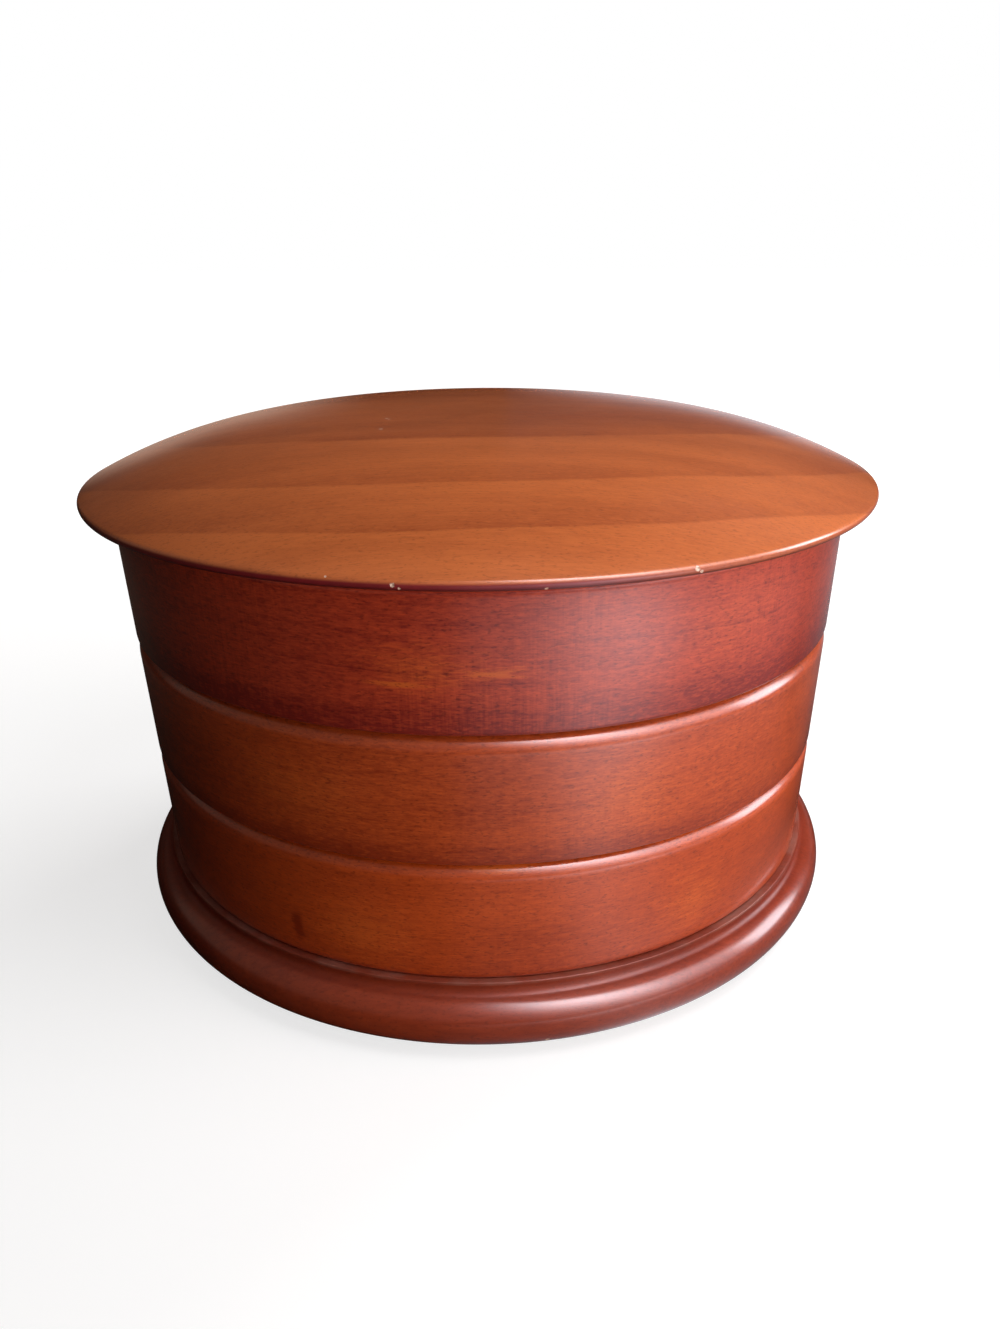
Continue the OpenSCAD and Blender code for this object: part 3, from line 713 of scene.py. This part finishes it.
# Post and its fittings
# A plated steel post, held by a nut under the base and a cap nut over a sprung washer, with brass
# bushes in the turning blocks, nylon washers between the tiers, and steel stop pins.
nut_arris = 0.25
steel_finish, tree, shader, here = new_finish("plated_steel")
drawn = noise(tree, vectors(tree, "MULTIPLY", here, (4.0, 4.0, 0.3)), 1.0, 3.0, 0.6)
dull = noise(tree, here, 0.4, 3.0)
put(tree, shader.inputs["Base Color"], mixed(tree, dull, (0.55, 0.56, 0.58, 1), (0.68, 0.68, 0.69, 1)))
put(tree, shader.inputs["Roughness"], span(tree, drawn, 0.3, 0.7, 0.24, 0.4))
shader.inputs["Metallic"].default_value = 1.0
brass_finish, tree, shader, here = new_finish("polished_brass")
drawn = noise(tree, vectors(tree, "MULTIPLY", here, (0.3, 4.0, 4.0)), 1.0, 3.0, 0.6)
tarnish = span(tree, noise(tree, here, 0.5, 4.0, 0.65), 0.42, 0.7)
put(tree, shader.inputs["Base Color"], mixed(tree, tarnish, (0.74, 0.54, 0.22, 1), (0.62, 0.44, 0.17, 1)))
put(tree, shader.inputs["Roughness"], maths(tree, "ADD", span(tree, drawn, 0.3, 0.7, 0.2, 0.28),
                                            maths(tree, "MULTIPLY", tarnish, 0.08)))
shader.inputs["Metallic"].default_value = 1.0
nylon_finish, tree, shader, here = new_finish("natural_nylon")
milky = noise(tree, here, 0.6, 3.0)
put(tree, shader.inputs["Base Color"], mixed(tree, milky, (0.78, 0.76, 0.68, 1), (0.86, 0.85, 0.80, 1)))
put(tree, shader.inputs["Roughness"], span(tree, milky, 0.3, 0.7, 0.38, 0.5))
refinish(steel_finish, "pivot_post", "post_base_nut", "post_base_washer", "lower_stop_pin", "upper_stop_pin",
         "spring_washer")
refinish(brass_finish, "base_screws", "middle_bush", "top_bush", "hinge_pin")
refinish(nylon_finish, "lower_washer", "upper_washer", "cap_washer")
fit(eased("post_cap_nut", nut_arris), steel_finish, "base", "steel", "post_cap_nut")

# Lid
# A dome turned from glued boards of orange-brown stained wood, with a thin dark half-round rim.
# Growth rings cross it in broad bands, its rim has chips from use and turns orange towards the right front,
# the rim's underside is drawn almost black as painted shade, and the mirror sits underneath.
lid_low, lid_top = level("lid_panel")
lid_r = 97
rim_r = 1.2
dome_h = 13.8
dome_n = 3.4
rim_end = 90 - math.degrees(math.atan(dome_h * dome_n / lid_r))
dome_r = lid_r - rim_r + rim_r * math.cos(math.radians(rim_end))
dome_z = lid_low + rim_r + rim_r * math.sin(math.radians(rim_end))
mirror_seat_r = 64.05
ring_seat_r = 67.55
ring_t = 1.6
mirror_t = 3
lid_section = [(0, lid_low + ring_t + mirror_t), (mirror_seat_r, lid_low + ring_t + mirror_t)]
lid_section += [(mirror_seat_r, lid_low + ring_t), (ring_seat_r, lid_low + ring_t), (ring_seat_r, lid_low)]
lid_section += arc((lid_r - rim_r, lid_low + rim_r), rim_r, -90, rim_end, 16)
dome_steps = 48
for i in range(1, dome_steps + 1):
    share = 1 - i / dome_steps
    lid_section.append((dome_r * share, dome_z + dome_h * (1 - share ** dome_n)))
lid = turned("lid_turned", lid_section)
rim_chips = [(-7.6, 5, 0.6), (-6.9, -25, 0.35), (25.1, 10, 0.7), (25.6, -20, 0.55), (8.2, -45, 0.45),
             (-14.8, 45, 0.3)]
lid_spots = knocked(lid, rim_chips, (lid_r - rim_r, lid_low + rim_r), rim_r, 10)
hinge_y = 92
hinge_z = (wall_high + lid_low) / 2
barrel_room = 2.1
barrel_half = 15.3
cut(lid, block("leaf_room", (-leaf_half, leaf_y, lid_low - 1), (leaf_half, hinge_y, lid_low + leaf_t)))
barrel = begin(bpy.ops.mesh.primitive_cylinder_add, "barrel_room", vertices=64, radius=barrel_room * mm,
               depth=2 * barrel_half * mm, location=(0, hinge_y * mm, hinge_z * mm),
               rotation=(0, math.pi / 2, 0))
smooth(cut(lid, barrel))

lid_finish, tree, shader, here = new_finish("lid_lacquer")
x, y, z = add(tree, "SeparateXYZ", {"Vector": here}).outputs
wave = noise(tree, vectors(tree, "MULTIPLY", here, (0.015, 0.04, 0.04)), 1.0, 2.0)
band_rise = 4.63
band_turn = -0.088
band_wave = 8.0
depth = maths(tree, "MULTIPLY_ADD", z, band_rise, y)
depth = maths(tree, "ADD", depth, maths(tree, "MULTIPLY", x, band_turn))
depth = maths(tree, "ADD", depth, maths(tree, "MULTIPLY_ADD", wave, band_wave, band_wave / -2))
first_depth = 400
last_depth = 600
place = maths(tree, "DIVIDE", maths(tree, "SUBTRACT", depth, first_depth), last_depth - first_depth)
# Growth rings of the boards; the ring nearest the front is also kept lighter as painted light on the lid's
# front.
band_and_front_light_stops = [(first_depth, 0.18), (last_depth, 0.5), (453.3, 0.06), (454.5, 0.5), (473, 0.3), (491.7, 0.14),
              (492.9, 0.55), (514, 0.34), (536.1, 0.2), (537.3, 0.6), (567, 0.55)]
band_and_front_light = ramp(tree, place, [((d - first_depth) / (last_depth - first_depth), shade) for d, shade in band_and_front_light_stops])
wood = placed(tree, grain, Position=here, Grain=(0.09, 1.0, 1.0), Light=(0.57, 0.143, 0.036, 1),
              Dark=(0.28, 0.052, 0.014, 1), Pore=(0.09, 0.015, 0.006, 1),
              Figure=band_and_front_light, Pores=0.3, Flecks=0.35)
reach = vectors(tree, "LENGTH", vectors(tree, "MULTIPLY", here, (1, 1, 0)))
rim = span(tree, z, lid_low + 1.2, lid_low + 1.9, 1.0, 0.0)
rim = maths(tree, "MULTIPLY", rim, span(tree, reach, lid_r - 4, lid_r - 2))
rim_colour = mixed(tree, noise(tree, here, 0.4, 3.0), (0.27, 0.021, 0.026, 1), (0.16, 0.011, 0.016, 1))
# Towards the right front the rim turns to the lid's own orange.
rim_orange_right = maths(tree, "MULTIPLY", span(tree, x, 15.0, 55.0, 0.0, 0.7), span(tree, y, 0.0, 40.0, 1.0, 0.0))
rim_colour = mixed(tree, rim_orange_right, rim_colour, wood["Color"])
# Painted shade: the rim's underside is drawn almost black.
under_rim_shade = span(tree, z, lid_low + 0.1, lid_low + 1.0, 0.85, 0.0)
rim_colour = mixed(tree, under_rim_shade, rim_colour, (0.02, 0.002, 0.003, 1))
lid_colour = mixed(tree, rim, wood["Color"], rim_colour)
lid_spots += [((-21.7, -27, lid_top - 0.4), 0.9), ((-21.2, -15, lid_top - 0.2), 0.6)]
lid_spots += [((-21.8, -14, lid_top - 0.2), 0.7)]
lacquer(tree, shader, here, lid_colour, wood["Height"], 0.38, lid_spots)
fit(lid, lid_finish, "lid", "lid_wood", "lid_panel")

# Mirror and its ring
# A round mirror with ground edges in the lid's underside, held by a thin moulded ring of dark
# stained wood that laps over it.
mirror_low, mirror_high = level("mirror")
mirror_r = 64
mirror_arris = 0.4
mirror = turned("mirror_glass", [(0, mirror_low), (mirror_r - mirror_arris, mirror_low),
                                 (mirror_r, mirror_low + mirror_arris), (mirror_r, mirror_high),
                                 (0, mirror_high)])
mirror_finish, tree, shader, here = new_finish("silvered_glass")
film = span(tree, noise(tree, here, 0.06, 5.0, 0.65), 0.45, 0.75)
put(tree, shader.inputs["Base Color"], mixed(tree, film, (0.90, 0.92, 0.92, 1), (0.87, 0.89, 0.89, 1)))
shader.inputs["Roughness"].default_value = 0.0
shader.inputs["Metallic"].default_value = 1.0
fit(mirror, mirror_finish, "lid", "mirror", "mirror")
ring_low, ring_high = level("mirror_ring")
ring_inner = 61.5
ring_outer = 67.5
ring_bead = 1.2
ring_step = 0.2
ring_quirk = ring_inner + ring_bead + 0.3
ring_arris = 0.4
ring_section = [(ring_inner, ring_high)]
ring_section += arc((ring_inner + ring_bead, ring_low + ring_step + ring_bead), ring_bead, 180, 270, 8)
ring_section += [(ring_quirk, ring_low + ring_step), (ring_quirk, ring_low)]
ring_section += [(ring_outer - ring_arris, ring_low), (ring_outer, ring_low + ring_arris)]
ring_section += [(ring_outer, ring_high)]
ring_section += [(ring_inner, ring_high)]
ring = turned("mirror_ring_moulded", ring_section)
fit(ring, base_finish, "lid", "base_wood", "mirror_ring")

# Hinge
# A small brass butt hinge at the back: the lower leaf is let into the top tier's wall and the upper
# one into the lid, each with two slotted countersunk screws, on one pin.
leaf_arris = 0.15
head_r = 1.9
head_arris = 0.08
slot_w = 0.5
slot_half = 2.5
slot_depth = 0.35
for node, screws, body, face in (("hinge_lower_leaf", "lower_leaf_screws", "top_tier", wall_high),
                                 ("hinge_upper_leaf", "upper_leaf_screws", "lid", lid_low)):
    fit(eased(node, leaf_arris), brass_finish, body, "brass", node)
    pair = eased(screws, head_arris)
    low, high = corners(screws)
    middle_y = (low[1] + high[1]) / 2
    for middle_x in (low[0] + head_r, high[0] - head_r):
        cut(pair, block("slot", (middle_x - slot_half, middle_y - slot_w / 2, face - slot_depth),
                        (middle_x + slot_half, middle_y + slot_w / 2, face + slot_depth)))
    fit(smooth(pair, 40), brass_finish, body, "brass", screws)

# Felt bumpers
# Three small felt dots on the top tier's rim that the lid comes down on.
low, high = level("felt_bumpers")
dot_r = 1.65
dot_at = 85.75
dot = felt_disc("felt_dot_1", (0, -dot_at), dot_r, low, high)
dots = [dot]
for number, turn in ((2, 60), (3, -60)):
    dots.append(copied(dot, f"felt_dot_{number}", Matrix.Rotation(math.radians(turn), 4, "Z")))
for dot in dots:
    fit(dot, felt_finish, "top_tier", "felt", "felt_bumpers")

# Stage
# A white floor that keeps the box's shadow and throws back light as a brown table does, and a tent
# that only reflections see. The lacquer mirrors a dim room in it, with windows high at the right,
# and the looking glass mirrors its pale cloth.
floor_size = 12


def looked_at(tree):
    """1 where the camera, a reflection or glass looks, and 0 where light falls."""
    path = add(tree, "LightPath").outputs
    seen = maths(tree, "MAXIMUM", path["Is Camera Ray"], path["Is Glossy Ray"])
    return maths(tree, "MAXIMUM", seen, path["Is Transmission Ray"])


floor = begin(bpy.ops.mesh.primitive_plane_add, "floor", size=floor_size)
floor_finish, tree, shader, here = new_finish("floor_paper")
tree.nodes.remove(shader)
seen = looked_at(tree)
reach = vectors(tree, "LENGTH", here)
glow = span(tree, reach, 150.0, 700.0, 0.72, 1.0)
side = add(tree, "SeparateXYZ", {"Vector": here}).outputs["X"]
# The thrown back light is darker at the left, as painted shade on the floor.
bounce = mixed(tree, span(tree, side, -130.0, -30.0), (0.10, 0.06, 0.04, 1), (0.40, 0.27, 0.18, 1))
shade = mixed(tree, seen, bounce, (0.4, 0.4, 0.4, 1))
paper = add(tree, "BsdfDiffuse", {"Color": shade})
light = add(tree, "Emission", {"Color": (1, 1, 1, 1), "Strength": maths(tree, "MULTIPLY", seen, glow)})
both = add(tree, "AddShader")
put(tree, both.inputs[0], paper.outputs[0])
put(tree, both.inputs[1], light.outputs[0])
put(tree, tree.nodes["Material Output"].inputs["Surface"], both.outputs[0])
floor.data.materials.append(floor_finish)

tent_r = 1400
pane_soft = 5
window_strength = 16.0
tent = turned("tent", [(felt_r + 1, 0.5)] + arc((0, 0.5), tent_r, 0, 90, 24), steps=72)
tent_finish, tree, shader, here = new_finish("tent_cloth")
tree.nodes.remove(shader)
x, y, z = add(tree, "SeparateXYZ", {"Vector": here}).outputs
front = maths(tree, "MULTIPLY", y, -1.0)
azimuth = maths(tree, "DEGREES", maths(tree, "ARCTAN2", x, front))
reach = vectors(tree, "LENGTH", vectors(tree, "MULTIPLY", here, (1, 1, 0)))
rise = maths(tree, "DEGREES", maths(tree, "ARCTAN2", z, reach))


def between(value, low, high):
    """1 between two angles, with edges that are soft over some degrees."""
    return maths(tree, "MULTIPLY", span(tree, value, low - pane_soft, low + pane_soft),
                 span(tree, value, high - pane_soft, high + pane_soft, 1.0, 0.0))


def pane(first, last, low, high):
    """1 on a window from azimuth to azimuth and from elevation to elevation."""
    return maths(tree, "MULTIPLY", between(azimuth, first, last), between(rise, low, high))


def by_degrees(value, stops):
    """A level that changes along stops of (degrees, level), the two ends first."""
    low, high = stops[0][0], stops[1][0]
    place = maths(tree, "DIVIDE", maths(tree, "SUBTRACT", value, low), high - low)
    return ramp(tree, place, [((degrees - low) / (high - low), shade) for degrees, shade in stops])


table_light = ((-180, 0.01), (180, 0.01), (-20, 0.005), (-8, 0.03), (0, 0.15), (9, 0.25), (19, 0.5),
               (30, 0.85), (40, 1.0), (48, 0.75), (58, 0.38), (67, 0.26), (84, 0.15), (107, 0.03),
               (125, 0.05), (150, 0.1))
pull = maths(tree, "MULTIPLY", span(tree, reach, 120.0, 340.0, 15.0, 0.0), span(tree, azimuth, 10.0, 32.0))
table = by_degrees(maths(tree, "ADD", azimuth, pull), table_light)
far = span(tree, reach, 100.0, 350.0, 0.8, 3.6)
far = maths(tree, "ADD", far, span(tree, reach, 380.0, 560.0, 0.0, -1.8))
table = maths(tree, "MULTIPLY", table, far)
table = maths(tree, "MULTIPLY", table, span(tree, rise, 0.5, 4.0, 1.0, 0.0))
sky = maths(tree, "MULTIPLY", span(tree, rise, 0.0, 16.0), span(tree, front, -650.0, -350.0, 0.045, 0.22))
glow = maths(tree, "ADD", table, sky)
window_light = ((-180, 0), (180, 0), (-20, 0), (-8, 0.03), (0, 0.08), (10, 0.29), (23, 0.79), (36, 1),
                (46, 0.9), (54, 0.68), (62, 0.36), (75, 0.24), (88, 0.15), (100, 0))
window_fall = ((-75, 0), (10, 0), (-65, 0.02), (-57, 0.05), (-49, 0.12), (-41, 0.26), (-34, 0.45),
               (-30, 0.6), (-22, 0.8), (-15, 1), (-6, 1), (4, 0))
under = maths(tree, "ADD", rise, maths(tree, "MULTIPLY_ADD", azimuth, 0.45, -82.0))
window = maths(tree, "MULTIPLY", by_degrees(azimuth, window_light), by_degrees(under, window_fall))
window = maths(tree, "MULTIPLY", window, span(tree, rise, 1.0, 7.0))
glow = maths(tree, "MULTIPLY_ADD", window, window_strength, glow)
for *edges, bright in ((86, 108, 6, 30, 10.0), (156, 176, -6, 8, 0.7), (-167, -150, -6, 11, 0.5)):
    glow = maths(tree, "MULTIPLY_ADD", pane(*edges), bright, glow)
mirrored = add(tree, "LightPath").outputs["Is Singular Ray"]
cloth = span(tree, rise, 0.0, 60.0, 0.75, 0.45)
glow = maths(tree, "ADD", maths(tree, "MULTIPLY", glow, maths(tree, "SUBTRACT", 1.0, mirrored)),
             maths(tree, "MULTIPLY", cloth, mirrored))
cool = mixed(tree, span(tree, azimuth, -30.0, 5.0), (1.0, 0.70, 0.55, 1), (0.90, 0.92, 1.0, 1))
cool = mixed(tree, mirrored, cool, (0.93, 0.94, 0.96, 1))
light = add(tree, "Emission", {"Color": cool, "Strength": glow})
put(tree, tree.nodes["Material Output"].inputs["Surface"], light.outputs[0])
tent.data.materials.append(tent_finish)
for kind in ("camera", "diffuse", "transmission", "volume_scatter", "shadow"):
    setattr(tent, "visible_" + kind, False)

# Light
# Two soft windows and a ceiling light at the right, two small fills in front, and a window and a weak
# fill behind. Their reflections come from the tent, and the white world gives only a little fill.
aim_z = 60


def lamp(name, azimuth, elevation, distance, size, power, tint=(1, 1, 1)):
    """A square soft lamp that looks at the middle of the box."""
    rise = math.radians(elevation)
    spot = around(azimuth, distance * math.cos(rise), aim_z + distance * math.sin(rise))
    bpy.ops.object.light_add(type="AREA", location=[c * mm for c in spot],
                             rotation=(math.radians(90 - elevation), 0, math.radians(azimuth)))
    made = bpy.context.object
    made.name = name
    made.data.shape = "SQUARE"
    made.data.size = size * mm
    made.data.energy = power
    made.data.color = tint
    made.visible_camera = False
    made.visible_glossy = False


lamp("window", 60, 12, 900, 600, 2.8)
lamp("window_side", 75, 25, 900, 500, 1.7)
lamp("front_right_fill", 34, 6, 450, 180, 0.55)
lamp("front_fill", 22, 6, 450, 180, 0.16)
lamp("ceiling", 55, 60, 420, 200, 0.78)
lamp("back_window", 138, 33, 900, 500, 7.6)
lamp("left_back_fill", -125, 30, 900, 500, 0.46, (1, 0.68, 0.5))

world = bpy.data.worlds.new("white_room")
bpy.context.scene.world = world
world.use_nodes = True
tree = world.node_tree
seen = looked_at(tree)
fill = 0.02
backdrop = tree.nodes["Background"]
put(tree, backdrop.inputs["Color"], mixed(tree, seen, (1, 0.6, 0.4, 1), (1, 1, 1, 1)))
put(tree, backdrop.inputs["Strength"], maths(tree, "MULTIPLY_ADD", seen, 1.0 - fill, fill))

# Camera
# It stands close in front of the box and looks down on the lid. The photograph is cropped, so its
# optical axis isn't in the middle of the frame.
frame_h = 1329
axis_right = 14.5
axis_down = 135.5
focal = 986
sensor = 36
eye = (8.04, -261.6, 161.76)
up_from_below = 60.24
lean = -0.28
bpy.ops.object.camera_add(location=[c * mm for c in eye])
camera = bpy.context.object
camera.data.sensor_width = sensor
camera.data.lens = focal / frame_h * sensor
camera.data.shift_x = -axis_right / frame_h
camera.data.shift_y = axis_down / frame_h
camera.data.clip_start = 0.01
pitch = Matrix.Rotation(math.radians(up_from_below), 3, "X")
tip = Matrix.Rotation(math.radians(lean), 3, "Z")
camera.rotation_mode = "QUATERNION"
camera.rotation_quaternion = (pitch @ tip).to_quaternion()
bpy.context.scene.camera = camera
bpy.context.scene.view_settings.view_transform = "Standard"
